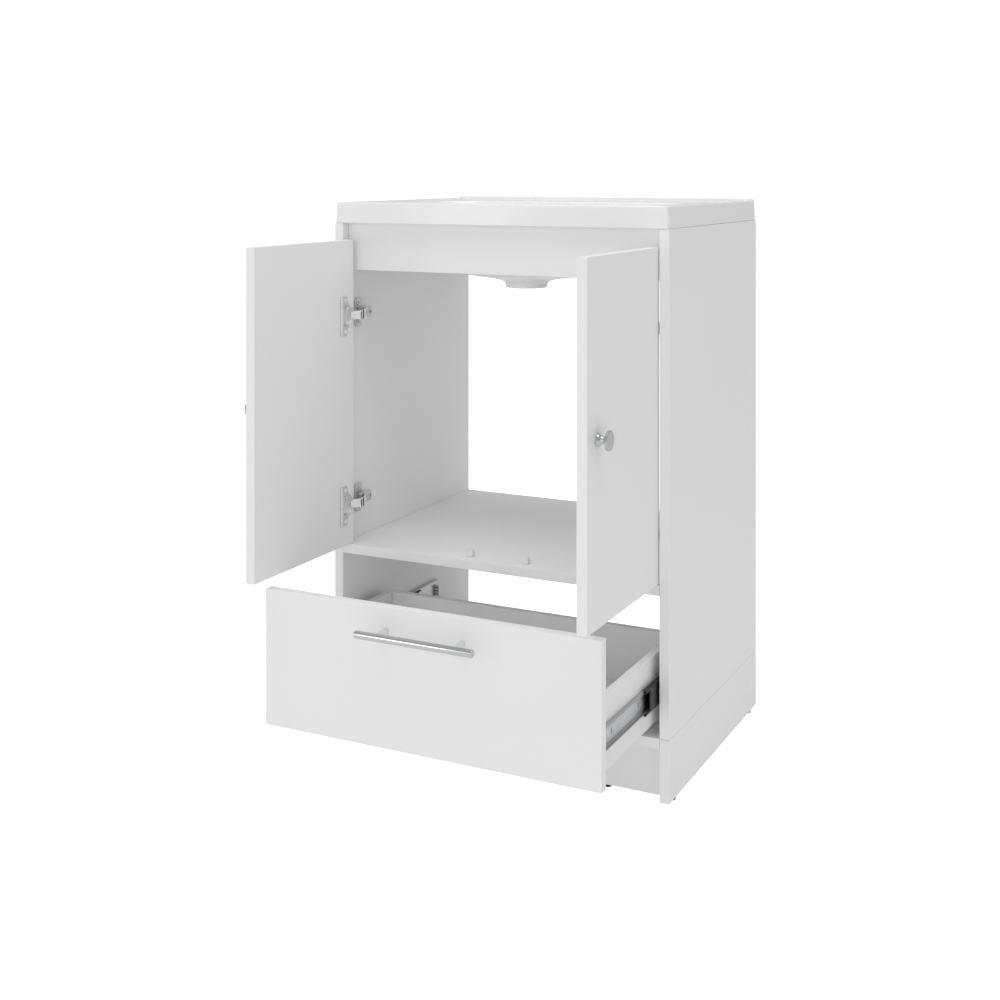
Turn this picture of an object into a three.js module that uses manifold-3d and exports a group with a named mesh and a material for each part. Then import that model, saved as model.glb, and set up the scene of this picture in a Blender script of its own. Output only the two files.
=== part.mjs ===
// Free-standing bathroom vanity cabinet, 600 mm wide: two inset doors on concealed hinges, one
// inset drawer on telescopic slides, an open back and a cast washbasin on top.
// Millimetres. X runs left to right, Y runs front to back, Z is up. Z = 0 is the floor.
// The doors stand open by 90 degrees and the drawer is pulled part of the way out.

import * as THREE from "three";
import { mergeVertices } from "three/addons/utils/BufferGeometryUtils.js";
import Module from "manifold-3d";

const wasm = await Module();
wasm.setup();

// ---------------------------------------------------------------- driving dimensions
const GAP = 0.3; // assembly gap between pieces that touch
const EDGE = 0.5; // chamfer of the board edges

const WIDTH = 600;
const DEPTH = 460;
const BOARD = 16;
const GLIDE_H = 5;

const PLINTH_TOP = 97; // joint between the plinth sides and the side panels
const CARCASS_TOP = 872.6; // underside of the washbasin
const PLINTH_SETBACK = 25;
const SHELF_Z = 313.8; // underside of the middle shelf
const RAIL_Z = 792.3; // underside of the rails
const RAIL_SETBACK = 18;

const DOOR_W = 281;
const DOOR_Z = [331.5, 844.3];
const SIDE_CLEARANCE = 2; // beside an inset door or drawer front
const DOOR_EDGE_OPEN = 5; // how far an open door's hinge edge sits behind the front edges

const HINGE_Z = [399, 717];
const CUP_R = 17.5;
const CUP_DEPTH = 11.5;
const CUP_INSET = 22.5; // cup centre to the door's hinge edge
const PLATE_T = 1.2;

const KNOB_INSET = 36.3; // knob centre to the door's free edge
const KNOB_Z = 592;

const DRAWER_OUT = 224.5; // how far the drawer is pulled out
const DRAWER_FRONT_Z = [100, 311.5];
const DRAWER_SIDE_T = 12;
const DRAWER_SIDE_Z = [115, 219];
const DRAWER_BOX_L = 341;
const DRAWER_FLOOR = [121, 129];

const SLIDE_SPACE = 12.7; // beside the drawer box
const SLIDE_L = 300;
const SLIDE_Z = 165.5;
const SLIDE_START = 20; // front end of the cabinet member
const SLIDE_SHARE = 0.3; // share of the drawer's travel that the middle member takes

const HANDLE_Z = 275.8;
const HANDLE_L = 196;
const HANDLE_R = 6;
const HANDLE_PITCH = 128;
const HANDLE_REACH = 32.5; // bar axis to the drawer front

const RIM_TOP = 907.4;
const DECK_TOP = 905.4;
const LEDGE_TOP = 910.1;
const DRAIN_Y = 128;
const DRAIN_R = 23;
const TAP_Y = 378;
const TAP_R = 17.5;

// ---------------------------------------------------------------- derived values
const HALF = WIDTH / 2;
const INNER = HALF - BOARD; // inner face of a side panel
const FILL = INNER - GAP; // half length of a board fitted between the side panels
const FRONT_HALF = INNER - SIDE_CLEARANCE;
// The door's turning axis carries it from flush between the side panels to square beside them.
const PIVOT = new THREE.Vector2(
  -FRONT_HALF + DOOR_EDGE_OPEN / 2,
  DOOR_EDGE_OPEN / 2,
);
const DOOR_INNER_X = -FRONT_HALF + BOARD; // inner face of the open left door
const CUP_Y = DOOR_EDGE_OPEN - CUP_INSET;
const BOX_HALF = INNER - SLIDE_SPACE; // outer face of a drawer side
const BOX_IN = BOX_HALF - DRAWER_SIDE_T;
const FRONT_Y = -DRAWER_OUT;
const BOX_Y = FRONT_Y + BOARD + GAP;
const DOOR_FREE_Y = DOOR_EDGE_OPEN - DOOR_W;
const MIDDLE_Y = (DOOR_FREE_Y + DEPTH) / 2; // centre of the footprint

// Concealed hinge: the link turns on the arm's nose at LINK_A and reaches into the cup at LINK_B.
const LINK_A = new THREE.Vector2(PIVOT.x + 24, PIVOT.y + 6.5);
const LINK_L = 15;
const LINK_ANGLE = (-130 * Math.PI) / 180; // direction of the link while the door is open
const LINK_B = LINK_A.clone().add(
  new THREE.Vector2(LINK_L * Math.cos(LINK_ANGLE), LINK_L * Math.sin(LINK_ANGLE)),
);

// ---------------------------------------------------------------- materials
const paint = (color, roughness, metalness) => () =>
  new THREE.MeshStandardMaterial({ color, roughness, metalness });
const laminate = paint(0xeeeeee, 0.5, 0);
const drawerWhite = paint(0xe8e8e8, 0.55, 0);
const ceramic = paint(0xf6f6f6, 0.18, 0);
const chrome = paint(0xd8dadc, 0.12, 1);
const nickel = paint(0xb4b6b8, 0.32, 1);
const zinc = paint(0xb9bcbe, 0.38, 1);
const whitePlastic = paint(0xf0f0ee, 0.45, 0);
const blackPlastic = paint(0x141414, 0.6, 0);

// ---------------------------------------------------------------- helpers
const model = new THREE.Group();
model.position.set(0, -MIDDLE_Y, GLIDE_H);

function add(name, geometry, material, x = 0, y = 0, z = 0, parent = model) {
  const mesh = new THREE.Mesh(geometry, material());
  mesh.name = name;
  mesh.position.set(x, y, z);
  parent.add(mesh);
  return mesh;
}

function welded(geometry) {
  const bare = geometry.clone();
  bare.deleteAttribute("normal");
  bare.deleteAttribute("uv");
  return mergeVertices(bare, 1e-4);
}

function solid(geometry) {
  const g = welded(geometry);
  return new wasm.Manifold(
    new wasm.Mesh({
      numProp: 3,
      vertProperties: Float32Array.from(g.attributes.position.array),
      triVerts: Uint32Array.from(g.index.array),
    }),
  );
}

function geometryOf(manifold) {
  const mesh = manifold.getMesh();
  const g = new THREE.BufferGeometry();
  g.setAttribute("position", new THREE.BufferAttribute(Float32Array.from(mesh.vertProperties), 3));
  g.setIndex(new THREE.BufferAttribute(Uint32Array.from(mesh.triVerts), 1));
  g.computeVertexNormals();
  return g;
}

// The same shape on the other side of the cabinet, with its faces turned to point out again.
function mirrored(geometry) {
  const g = welded(geometry);
  g.scale(-1, 1, 1);
  const index = g.index.array;
  for (let i = 0; i < index.length; i += 3) {
    [index[i], index[i + 1]] = [index[i + 1], index[i]];
  }
  g.computeVertexNormals();
  return g;
}

const onSide = (side, geometry) => (side < 0 ? geometry : mirrored(geometry));

// A board given by its limits, with chamfered edges.
function board(name, [x0, x1], [y0, y1], [z0, z1], material = laminate, edge = EDGE) {
  const w = x1 - x0 - 2 * edge;
  const d = y1 - y0 - 2 * edge;
  const outline = new THREE.Shape([
    new THREE.Vector2(-w / 2, -d / 2),
    new THREE.Vector2(w / 2, -d / 2),
    new THREE.Vector2(w / 2, d / 2),
    new THREE.Vector2(-w / 2, d / 2),
  ]);
  const geometry = new THREE.ExtrudeGeometry(outline, {
    depth: z1 - z0 - 2 * edge,
    bevelEnabled: true,
    bevelThickness: edge,
    bevelSize: edge,
    bevelSegments: 1,
  });
  return add(name, geometry, material, (x0 + x1) / 2, (y0 + y1) / 2, z0 + edge);
}

function box([x0, x1], [y0, y1], [z0, z1]) {
  const g = new THREE.BoxGeometry(x1 - x0, y1 - y0, z1 - z0);
  return g.translate((x0 + x1) / 2, (y0 + y1) / 2, (z0 + z1) / 2);
}

// An upright cylinder given by its axis and its ends.
function post(x, y, z0, z1, r, segments = 32) {
  const g = new THREE.CylinderGeometry(r, r, z1 - z0, segments);
  return g.rotateX(Math.PI / 2).translate(x, y, (z0 + z1) / 2);
}

// A plan outline of XY points, extruded upwards between two heights.
function prism(points, z0, z1) {
  const shape = points instanceof THREE.Shape ? points : new THREE.Shape(points);
  const g = new THREE.ExtrudeGeometry(shape, { depth: z1 - z0, bevelEnabled: false });
  return g.translate(0, 0, z0);
}

const P = (x, y) => new THREE.Vector2(x, y);

// One level of a rounded rectangle: every level has the same number of points.
const CORNER_STEPS = 7;
function level({ z, x, front, back, r }) {
  const points = [];
  const corners = [
    [x - r, back - r, 0],
    [-x + r, back - r, 1],
    [-x + r, front + r, 2],
    [x - r, front + r, 3],
  ];
  for (const [cx, cy, quarter] of corners) {
    for (let i = 0; i <= CORNER_STEPS; i += 1) {
      const a = (Math.PI / 2) * (quarter + i / CORNER_STEPS);
      points.push([cx + r * Math.cos(a), cy + r * Math.sin(a), z]);
    }
  }
  return points;
}

// A closed body through rounded rectangles stacked from the bottom up.
function loft(levels) {
  const rings = levels.map(level);
  const n = rings[0].length;
  const positions = rings.flat(2);
  const index = [];
  for (let k = 0; k + 1 < rings.length; k += 1) {
    for (let i = 0; i < n; i += 1) {
      const a = k * n + i;
      const b = k * n + ((i + 1) % n);
      index.push(a, b, b + n, a, b + n, a + n);
    }
  }
  const top = (rings.length - 1) * n;
  for (let i = 1; i + 1 < n; i += 1) {
    index.push(0, i + 1, i);
    index.push(top, top + i, top + i + 1);
  }
  const g = new THREE.BufferGeometry();
  g.setAttribute("position", new THREE.Float32BufferAttribute(positions, 3));
  g.setIndex(index);
  return g;
}

const lathe = (profile, segments = 40) =>
  new THREE.LatheGeometry(profile.map(([r, h]) => P(r, h)), segments);

// ---------------------------------------------------------------- carcass
for (const side of [-1, 1]) {
  const tag = side < 0 ? "left" : "right";
  const across = side < 0 ? [-HALF, -INNER] : [INNER, HALF];
  board(`side_panel_${tag}`, across, [0, DEPTH], [PLINTH_TOP, CARCASS_TOP - GAP]);
  board(`plinth_side_${tag}`, across, [0, DEPTH], [0, PLINTH_TOP - GAP]);
}
const between = [-FILL, FILL];
const plinthHeight = [0, PLINTH_TOP - BOARD - GAP];
const railHeight = [RAIL_Z, CARCASS_TOP - GAP];
board("bottom_board", between, [0, DEPTH], [PLINTH_TOP - BOARD, PLINTH_TOP]);
board("plinth_front", between, [PLINTH_SETBACK, PLINTH_SETBACK + BOARD], plinthHeight);
board("plinth_rear", between, [DEPTH - 2 * BOARD, DEPTH - BOARD], plinthHeight);
board("middle_shelf", between, [0, DEPTH], [SHELF_Z, SHELF_Z + BOARD]);
board("rail_front", between, [RAIL_SETBACK, RAIL_SETBACK + BOARD], railHeight);
board("rail_rear", between, [DEPTH - BOARD, DEPTH], railHeight);

// Stops on the middle shelf, just behind the closed doors.
for (const [tag, x] of [["left", -50], ["right", 50]]) {
  const shelfTop = SHELF_Z + BOARD + GAP;
  board(`door_stop_${tag}`, [x - 5, x + 5], [16.8, 26.8], [shelfTop, shelfTop + 11], whitePlastic, 0.8);
}

// Glides nailed under the plinth sides and under the plinth front.
const glide = lathe([[0, 0], [6.2, 0], [7, 0.8], [7, 3.9], [6.2, GLIDE_H - GAP], [0, GLIDE_H - GAP]], 18);
glide.rotateX(Math.PI / 2);
const glidePlaces = {
  left_front: [-HALF + BOARD / 2, 32],
  left_rear: [-HALF + BOARD / 2, 429],
  right_front: [HALF - BOARD / 2, 32],
  right_rear: [HALF - BOARD / 2, 429],
  plinth_left: [-186, PLINTH_SETBACK + BOARD / 2],
  plinth_right: [186, PLINTH_SETBACK + BOARD / 2],
};
for (const [place, [x, y]] of Object.entries(glidePlaces)) {
  add(`glide_${place}`, glide.clone(), blackPlastic, x, y, -GLIDE_H);
}

// ---------------------------------------------------------------- washbasin
// Levels run from the lowest to the highest; front and back are Y limits, x is half the width.
const slab = loft([
  { z: CARCASS_TOP, x: 299.4, front: -0.4, back: DEPTH, r: 6 },
  { z: CARCASS_TOP + 1, x: 300, front: -1, back: DEPTH, r: 6.5 },
  { z: RIM_TOP - 1.8, x: 297.6, front: -0.4, back: DEPTH, r: 6.5 },
  { z: RIM_TOP - 0.5, x: 297, front: 0, back: DEPTH - 0.6, r: 6 },
  { z: RIM_TOP, x: 296, front: 1, back: DEPTH - 1.6, r: 5 },
]);
const ledge = loft([
  { z: DECK_TOP - 4, x: 297.8, front: 448, back: DEPTH, r: 5.5 },
  { z: LEDGE_TOP - 1.6, x: 297.4, front: 448, back: DEPTH, r: 5.5 },
  { z: LEDGE_TOP - 0.4, x: 296.8, front: 448.6, back: DEPTH - 0.6, r: 5.2 },
  { z: LEDGE_TOP, x: 295.8, front: 449.6, back: DEPTH - 1.6, r: 4.2 },
]);
const tray = loft([
  { z: DECK_TOP, x: 285, front: 12, back: 447, r: 9 },
  { z: DECK_TOP + 0.6, x: 286.4, front: 10.6, back: 448.4, r: 10 },
  { z: RIM_TOP + 8, x: 287.4, front: 9.6, back: 448.4, r: 10 },
]);
const bowl = loft([
  { z: 787, x: 38, front: 90, back: 166, r: 37 },
  { z: 792.5, x: 78, front: 72, back: 206, r: 60 },
  { z: 798, x: 118, front: 63, back: 236, r: 66 },
  { z: 806, x: 158, front: 57, back: 257, r: 70 },
  { z: 820, x: 192, front: 53, back: 273, r: 72 },
  { z: 842, x: 212, front: 49, back: 285, r: 72 },
  { z: 872, x: 226, front: 45, back: 296, r: 70 },
  { z: 897, x: 234, front: 38, back: 303, r: 68 },
  { z: 903, x: 237, front: 34, back: 306, r: 68 },
  { z: DECK_TOP, x: 242, front: 29, back: 311, r: 70 },
  { z: RIM_TOP + 12, x: 242, front: 29, back: 311, r: 70 },
]);
const shell = loft([
  { z: 777, x: 42, front: 86, back: 170, r: 41 },
  { z: 782.5, x: 80, front: 68, back: 212, r: 64 },
  { z: 788.5, x: 124, front: 55, back: 245, r: 72 },
  { z: 798, x: 166, front: 48, back: 268, r: 76 },
  { z: 814, x: 201, front: 43, back: 284, r: 78 },
  { z: 838, x: 222, front: 39, back: 296, r: 78 },
  { z: CARCASS_TOP, x: 236, front: 35.5, back: 307, r: 77 },
  { z: 896, x: 243, front: 33, back: 313, r: 76 },
]);
const underside = loft([
  { z: CARCASS_TOP - 5, x: 283, front: 37, back: 442, r: 10 },
  { z: 893, x: 280, front: 40, back: 439, r: 10 },
]);
const boss = lathe([
  [0, 764.4], [33.6, 764.4], [34.8, 765.2], [35.3, 766.6], [35.5, 770.4], [36.6, 772.8],
  [39, 775], [43, 777], [50, 779], [50, 788], [0, 788],
], 48).rotateX(Math.PI / 2).translate(0, DRAIN_Y, 0);
const wasteSeat = post(0, DRAIN_Y, 784.5, 800, 32, 48);
const wasteHole = post(0, DRAIN_Y, 750, 800, DRAIN_R, 40);
const tapHole = post(0, TAP_Y, 880, 920, TAP_R, 32);
const overflow = post(0, 0, -20, 20, 10, 24).rotateX(Math.PI / 2).translate(0, 299, 866);

const hollow = solid(underside).subtract(solid(shell));
let basin = solid(slab).add(solid(ledge)).subtract(solid(tray)).subtract(hollow);
basin = basin.add(solid(shell)).add(solid(boss)).subtract(solid(bowl));
for (const cut of [wasteSeat, wasteHole, tapHole, overflow]) {
  basin = basin.subtract(solid(cut));
}
add("washbasin", geometryOf(basin), ceramic);

// ---------------------------------------------------------------- doors
// Everything on the left is drawn open by 90 degrees, and the right side is its mirror image.
function doorBoard() {
  const w = BOARD - 2 * EDGE;
  const l = DOOR_W - 2 * EDGE;
  const outline = new THREE.Shape([P(0, 0), P(w, 0), P(w, l), P(0, l)]);
  const plain = new THREE.ExtrudeGeometry(outline, {
    depth: DOOR_Z[1] - DOOR_Z[0] - 2 * EDGE,
    bevelEnabled: true,
    bevelThickness: EDGE,
    bevelSize: EDGE,
    bevelSegments: 1,
  }).translate(-FRONT_HALF + EDGE, DOOR_FREE_Y + EDGE, DOOR_Z[0] + EDGE);
  let door = solid(plain);
  for (const z of HINGE_Z) {
    const pocket = post(0, 0, -CUP_DEPTH, 5, CUP_R, 36).rotateY(Math.PI / 2);
    door = door.subtract(solid(pocket.translate(DOOR_INNER_X, CUP_Y, z)));
  }
  return geometryOf(door);
}

// Turned knob: a foot that narrows to a neck, and a thin round plate.
const knobProfile = [
  [0, 0.3], [9.2, 0.3], [9.2, 1.2], [8.2, 3.4], [6.2, 6.4], [5.1, 9.4], [5, 11.6], [6, 13.6],
  [9.2, 14.8], [12.6, 15.3], [14, 15.9], [14.3, 16.8], [14.3, 18], [13.6, 19], [12.4, 19.4], [0, 19.4],
];

// Hinge cup: a pressed shell with a flange plate screwed to the door's inner face.
function hingeCup() {
  const face = DOOR_INNER_X;
  const outline = new THREE.Shape([
    P(-15.5, -33), P(0, -33), P(1, -32), P(1, -24), P(9, -15), P(12, -13),
    P(12, 13), P(9, 15), P(1, 24), P(1, 32), P(0, 33), P(-15.5, 33), P(-16.5, 32), P(-16.5, -32),
  ]);
  const plate = new THREE.ExtrudeGeometry(outline, { depth: PLATE_T, bevelEnabled: false });
  // the outline's first axis becomes Y and its second becomes Z
  plate.applyMatrix4(new THREE.Matrix4().makeBasis(
    new THREE.Vector3(0, 1, 0), new THREE.Vector3(0, 0, 1), new THREE.Vector3(1, 0, 0),
  ));
  plate.translate(face + GAP, CUP_Y, 0);
  const barrel = (r, from, to) =>
    post(0, 0, from, to, r, 36).rotateY(Math.PI / 2).translate(face, CUP_Y, 0);
  const outer = solid(plate)
    .add(solid(barrel(CUP_R - GAP, -CUP_DEPTH + GAP, PLATE_T + GAP)))
    .add(solid(barrel(CUP_R + 1.2, GAP, PLATE_T + GAP)));
  const mouth = box([face - 3.6, face + 6], [CUP_Y + 8, 6], [-8, 8]);
  return geometryOf(
    outer
      .subtract(solid(barrel(CUP_R - GAP - 0.9, -CUP_DEPTH + GAP + 0.8, 8)))
      .subtract(solid(mouth)),
  );
}

// Hinge link: a plate between two eyes, open at the cup end and pivoted at the arm end.
function hingeLink() {
  const place = (g) => g.rotateZ(LINK_ANGLE + Math.PI).translate(LINK_B.x, LINK_B.y, 0);
  const web = box([0, LINK_L], [-1.2, 1.2], [-5.5, 5.5]);
  const broad = box([4, LINK_L - 3.4], [-1.2, 1.2], [-7.1, 7.1]);
  const eyeB = post(0, 0, -5.5, 5.5, 1.3, 16);
  const eyeA = post(LINK_L, 0, -7.1, 7.1, 2.3, 18);
  const bore = post(LINK_L, 0, -10, 10, 1.5, 16);
  const parts = [web, broad, eyeB, eyeA, bore].map((g) => solid(place(g)));
  return geometryOf(parts[0].add(parts[1]).add(parts[2]).add(parts[3]).subtract(parts[4]));
}

// Hinge arm: a cranked channel, open towards the side panel, with the pivot pin in its nose.
function hingeArm() {
  const nose = (r) => {
    const points = [];
    for (let i = 0; i <= 8; i += 1) {
      const a = Math.PI * (1 + i / 8);
      points.push(P(LINK_A.x + r * Math.cos(a), LINK_A.y + r * Math.sin(a)));
    }
    return points;
  };
  const outline = [
    ...nose(2.6),
    P(-252.9, 22), P(-257, 32), P(-268.4, 43), P(-271, 50), P(-271, 72),
    P(-278.5, 72), P(-278.5, 40), P(-266, 25), P(-258.1, 14),
  ];
  const inside = [
    P(LINK_A.x - 6, LINK_A.y - 6), P(-250, LINK_A.y - 6), P(-250, 11.8), P(-254.1, 12.6),
    P(-254.1, 21.8), P(-258.1, 31.3), P(-269.4, 42.2), P(-272.2, 49.6), P(-272.2, 80),
    P(-290, 80), P(-290, 20),
  ];
  const half = 8.7;
  const channel = solid(prism(outline, -half, half)).subtract(solid(prism(inside, -half + 1.2, half - 1.2)));
  const pin = post(LINK_A.x, LINK_A.y, -half + 0.4, half - 0.4, 1.15, 16);
  return geometryOf(channel.add(solid(pin)));
}

// Mounting plate: wings screwed to the side panel and a raised block inside the arm.
function hingeMount() {
  const wall = -INNER + GAP;
  const wings = prism([P(wall, 36), P(wall + 2.5, 36), P(wall + 2.5, 56), P(wall, 56)], -25, 25);
  const block = prism(
    [P(wall, 35), P(wall + 5, 35), P(-273.2, 47), P(-272.7, 52), P(-272.7, 70), P(wall, 70)], -7, 7,
  );
  return geometryOf(solid(wings).add(solid(block)));
}

const knob = lathe(knobProfile, 28);
for (const side of [-1, 1]) {
  const tag = side < 0 ? "left" : "right";
  add(`door_${tag}`, onSide(side, doorBoard()), laminate);
  // the profile's axis points out of the door's front face
  const mesh = add(`knob_${tag}`, knob.clone(), chrome, side * FRONT_HALF, DOOR_FREE_Y + KNOB_INSET, KNOB_Z);
  mesh.rotation.z = (-side * Math.PI) / 2;
  HINGE_Z.forEach((z, i) => {
    const at = `${tag}_${i === 0 ? "lower" : "upper"}`;
    add(`hinge_cup_${at}`, onSide(side, hingeCup()), nickel, 0, 0, z);
    add(`hinge_link_${at}`, onSide(side, hingeLink()), nickel, 0, 0, z);
    add(`hinge_arm_${at}`, onSide(side, hingeArm()), nickel, 0, 0, z);
    add(`hinge_mount_${at}`, onSide(side, hingeMount()), nickel, 0, 0, z);
  });
}

// ---------------------------------------------------------------- drawer
board("drawer_front", [-FRONT_HALF, FRONT_HALF], [FRONT_Y, FRONT_Y + BOARD], DRAWER_FRONT_Z);
for (const side of [-1, 1]) {
  const tag = side < 0 ? "left" : "right";
  const across = side < 0 ? [-BOX_HALF, -BOX_IN] : [BOX_IN, BOX_HALF];
  board(`drawer_side_${tag}`, across, [BOX_Y, BOX_Y + DRAWER_BOX_L], DRAWER_SIDE_Z, drawerWhite);
}
const boxInner = [-BOX_IN + GAP, BOX_IN - GAP];
const backY = BOX_Y + DRAWER_BOX_L - DRAWER_SIDE_T;
board("drawer_back", boxInner, [backY, backY + DRAWER_SIDE_T], DRAWER_SIDE_Z, drawerWhite);
board("drawer_floor", boxInner, [BOX_Y, backY - GAP], DRAWER_FLOOR, drawerWhite, 0.3);

// Telescopic slides: three nested channels on each side, each with its web upright.
function channel(web, lip, half, t, y0) {
  const s = Math.sign(lip - web);
  const outline = new THREE.Shape([
    P(web, -half), P(lip, -half), P(lip, -half + t), P(web + s * t, -half + t),
    P(web + s * t, half - t), P(lip, half - t), P(lip, half), P(web, half),
  ]);
  const g = new THREE.ExtrudeGeometry(outline, { depth: SLIDE_L, bevelEnabled: false });
  // the outline's second axis becomes Z and the extrusion runs along Y
  g.rotateX(Math.PI / 2).translate(0, y0 + SLIDE_L, SLIDE_Z);
  return g;
}
const middleY = SLIDE_START - SLIDE_SHARE * DRAWER_OUT;
const innerY = SLIDE_START - DRAWER_OUT;
for (const side of [-1, 1]) {
  const tag = side < 0 ? "left" : "right";
  const outer = channel(-INNER + GAP, -INNER + 8.4, 22.7, 1.2, SLIDE_START);
  const middle = channel(-INNER + 3, -INNER + 10.1, 19.6, 1.2, middleY);
  const inner = channel(-BOX_HALF - GAP, -BOX_HALF - 7.3, 16.8, 1.2, innerY);
  add(`slide_cabinet_${tag}`, onSide(side, outer), zinc);
  add(`slide_middle_${tag}`, onSide(side, middle), zinc);
  add(`slide_drawer_${tag}`, onSide(side, inner), zinc);
}

// Bar handle: a round bar on two round posts.
const barY = FRONT_Y - HANDLE_REACH;
const bar = lathe([
  [0, -HANDLE_L / 2], [HANDLE_R - 0.8, -HANDLE_L / 2], [HANDLE_R, -HANDLE_L / 2 + 0.8],
  [HANDLE_R, HANDLE_L / 2 - 0.8], [HANDLE_R - 0.8, HANDLE_L / 2], [0, HANDLE_L / 2],
], 32).rotateZ(Math.PI / 2);
add("handle_bar", bar, nickel, 0, barY, HANDLE_Z);
for (const [tag, x] of [["left", -HANDLE_PITCH / 2], ["right", HANDLE_PITCH / 2]]) {
  const standoff = post(0, 0, GAP, HANDLE_REACH, 4.8, 28).rotateX(Math.PI / 2);
  const bore = new THREE.CylinderGeometry(HANDLE_R + GAP, HANDLE_R + GAP, 40, 48);
  bore.rotateZ(Math.PI / 2).translate(0, -HANDLE_REACH, 0);
  const stem = geometryOf(solid(standoff).subtract(solid(bore)));
  add(`handle_post_${tag}`, stem, nickel, x, FRONT_Y, HANDLE_Z);
}

export default model;
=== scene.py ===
"""Looks of the bathroom vanity cabinet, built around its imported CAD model.

Lengths inside the helpers are millimetres in the carcass frame: X = 0 is the middle of the cabinet,
Y = 0 the front edges of the side panels, +Y towards the wall, Z = 0 the underside of the plinth.
TO_ROW turns them into metres in the row frame, with the offsets read from the CAD boxes.
"""

import math

import bmesh
import bpy
from mathutils import Matrix, Vector


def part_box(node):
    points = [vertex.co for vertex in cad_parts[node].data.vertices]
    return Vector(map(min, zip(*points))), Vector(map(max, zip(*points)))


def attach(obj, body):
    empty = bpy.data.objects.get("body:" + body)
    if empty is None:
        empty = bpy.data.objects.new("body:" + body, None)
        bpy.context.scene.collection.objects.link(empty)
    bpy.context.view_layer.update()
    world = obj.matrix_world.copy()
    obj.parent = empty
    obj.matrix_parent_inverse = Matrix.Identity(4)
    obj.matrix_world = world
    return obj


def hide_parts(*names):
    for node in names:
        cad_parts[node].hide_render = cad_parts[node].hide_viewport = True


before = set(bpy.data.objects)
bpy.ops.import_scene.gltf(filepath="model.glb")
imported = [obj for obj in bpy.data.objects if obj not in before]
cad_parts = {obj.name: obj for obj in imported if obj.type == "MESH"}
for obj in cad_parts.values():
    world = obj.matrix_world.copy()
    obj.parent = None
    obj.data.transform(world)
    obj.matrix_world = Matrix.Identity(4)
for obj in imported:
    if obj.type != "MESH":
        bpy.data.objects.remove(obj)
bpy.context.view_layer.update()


# ---------------------------------------------------------------- camera
CAMERA_PLACE = (1.0408, -2.1590, 0.9662)  # metres in the row frame
CAMERA_TURN = 26.427  # degrees to the left of straight back; the lens axis is level
LENS, SENSOR = 51.81, 36.0
FRAME_SHIFT = -0.3294  # keeps upright edges parallel while the frame looks below the lens axis


def make_camera():
    data = bpy.data.cameras.new("camera")
    data.lens = LENS
    data.sensor_width = SENSOR
    data.shift_y = FRAME_SHIFT
    data.clip_end = 200.0
    cam = bpy.data.objects.new("camera", data)
    cam.location = CAMERA_PLACE
    cam.rotation_euler = (math.radians(90), 0, math.radians(CAMERA_TURN))
    bpy.context.scene.collection.objects.link(cam)
    bpy.context.scene.camera = cam


make_camera()
bpy.context.scene.view_settings.view_transform = "Standard"

# ---------------------------------------------------------------- frame of reference
MM = 0.001
ORIGIN = Vector(
    (0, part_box("side_panel_left")[0].y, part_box("plinth_side_left")[0].z)
)
TO_ROW = Matrix.Translation(ORIGIN) @ Matrix.Scale(MM, 4)
MIRROR = Matrix.Scale(-1, 4, (1, 0, 0))


def box_mm(node):
    """A CAD node's lowest and highest corner, in carcass millimetres."""
    lo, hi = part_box(node)
    return (lo - ORIGIN) / MM, (hi - ORIGIN) / MM


# ---------------------------------------------------------------- materials
def material(
    name,
    base,
    rough,
    metal=0.0,
    coat=0.0,
    tone=0.012,
    tone_scale=7.0,
    speck=0.008,
    speck_scale=900.0,
    rough_spread=0.05,
    rough_scale=60.0,
    bump=0.2,
    bump_scale=1500.0,
    bump_depth=0.00003,
    stretch=(1, 1, 1),
):
    """A procedural finish: slow tone drift, fine specks, uneven roughness and a fine relief."""
    mat = bpy.data.materials.new(name)
    mat.use_nodes = True
    nodes, links = mat.node_tree.nodes, mat.node_tree.links
    shader = nodes["Principled BSDF"]
    shader.inputs["Metallic"].default_value = metal
    shader.inputs["Coat Weight"].default_value = coat
    shader.inputs["Coat Roughness"].default_value = 0.08

    coords = nodes.new("ShaderNodeTexCoord")
    grain = nodes.new("ShaderNodeMapping")
    grain.inputs["Scale"].default_value = stretch
    links.new(coords.outputs["Object"], grain.inputs["Vector"])

    def noise(scale, detail, source):
        tex = nodes.new("ShaderNodeTexNoise")
        tex.inputs["Scale"].default_value = scale
        tex.inputs["Detail"].default_value = detail
        links.new(source, tex.inputs["Vector"])
        return tex.outputs["Fac"]

    def ranged(value, low, high):
        node = nodes.new("ShaderNodeMapRange")
        node.inputs["From Min"].default_value = 0.3
        node.inputs["From Max"].default_value = 0.7
        node.inputs["To Min"].default_value = low
        node.inputs["To Max"].default_value = high
        links.new(value, node.inputs["Value"])
        return node.outputs["Result"]

    slow = ranged(noise(tone_scale, 3, coords.outputs["Object"]), 1 - tone, 1 + tone)
    fine = ranged(noise(speck_scale, 2, grain.outputs["Vector"]), 1 - speck, 1 + speck)
    both = nodes.new("ShaderNodeMath")
    both.operation = "MULTIPLY"
    links.new(slow, both.inputs[0])
    links.new(fine, both.inputs[1])
    colour = nodes.new("ShaderNodeVectorMath")
    colour.operation = "SCALE"
    colour.inputs[0].default_value = base
    links.new(both.outputs[0], colour.inputs["Scale"])
    links.new(colour.outputs[0], shader.inputs["Base Color"])

    uneven = noise(rough_scale, 4, grain.outputs["Vector"])
    links.new(
        ranged(uneven, max(0.02, rough - rough_spread), rough + rough_spread),
        shader.inputs["Roughness"],
    )
    if bump:
        relief = nodes.new("ShaderNodeBump")
        relief.inputs["Strength"].default_value = bump
        relief.inputs["Distance"].default_value = bump_depth
        links.new(noise(bump_scale, 2, grain.outputs["Vector"]), relief.inputs["Height"])
        links.new(relief.outputs["Normal"], shader.inputs["Normal"])
    return mat


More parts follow.
